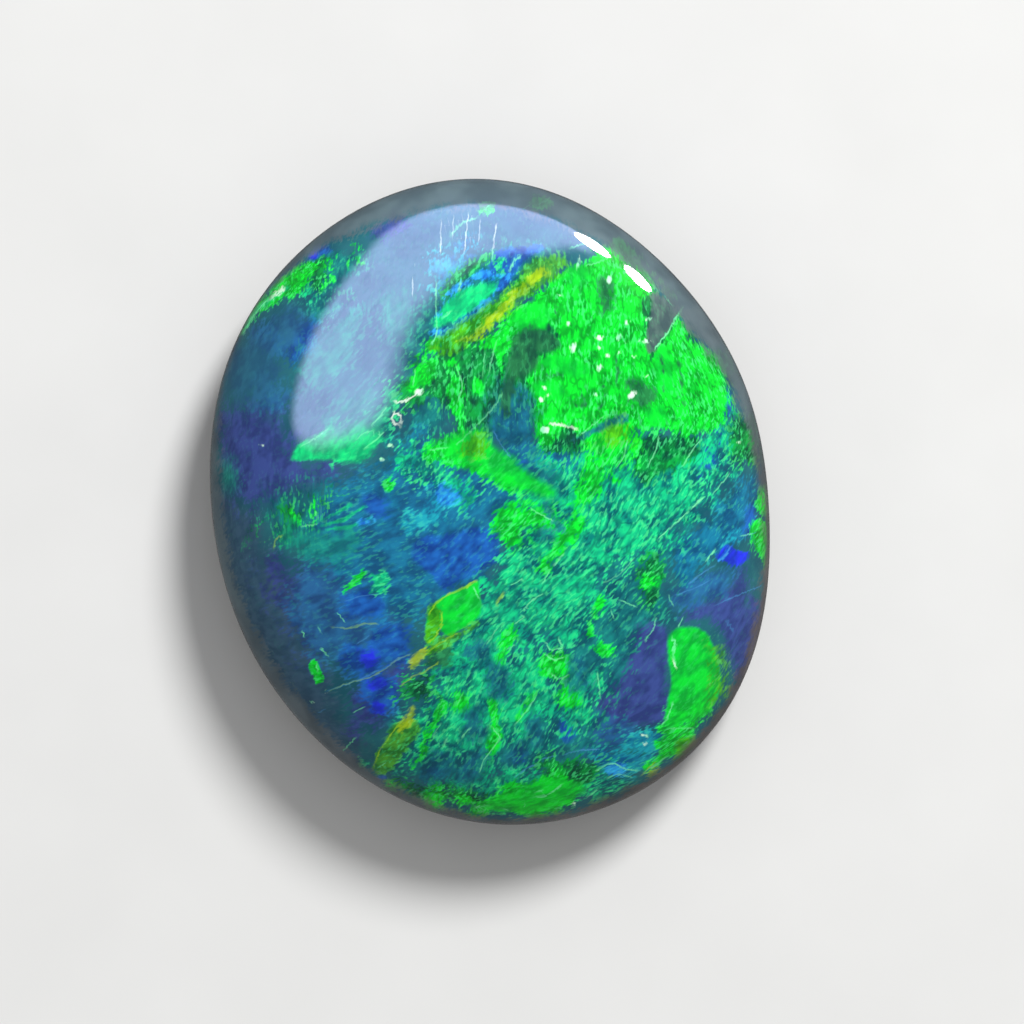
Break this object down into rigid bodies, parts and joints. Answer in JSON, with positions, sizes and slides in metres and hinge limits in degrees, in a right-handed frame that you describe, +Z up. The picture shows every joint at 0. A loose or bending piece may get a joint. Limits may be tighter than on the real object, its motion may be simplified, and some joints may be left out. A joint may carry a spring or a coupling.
{
  "type": "black opal cabochon",
  "caption": "Polished oval black opal cabochon with a low dome, a narrow girdle band and a flat back with a bevelled edge, for setting or display.",
  "frame": {"origin": "on the flat back, under the middle of the stone's outline", "axes": "+Z up through the dome, +Y along the stone's length, +X across its width"},
  "size_m": [0.01, 0.0116, 0.0034],
  "materials": {
    "black_opal": "high polish on the dome, with green and blue play of colour over dark grey potch; ground satin on the back"
  },
  "bodies": {
    "root": {"opal_cabochon": "black_opal"}
  },
  "joints": []
}
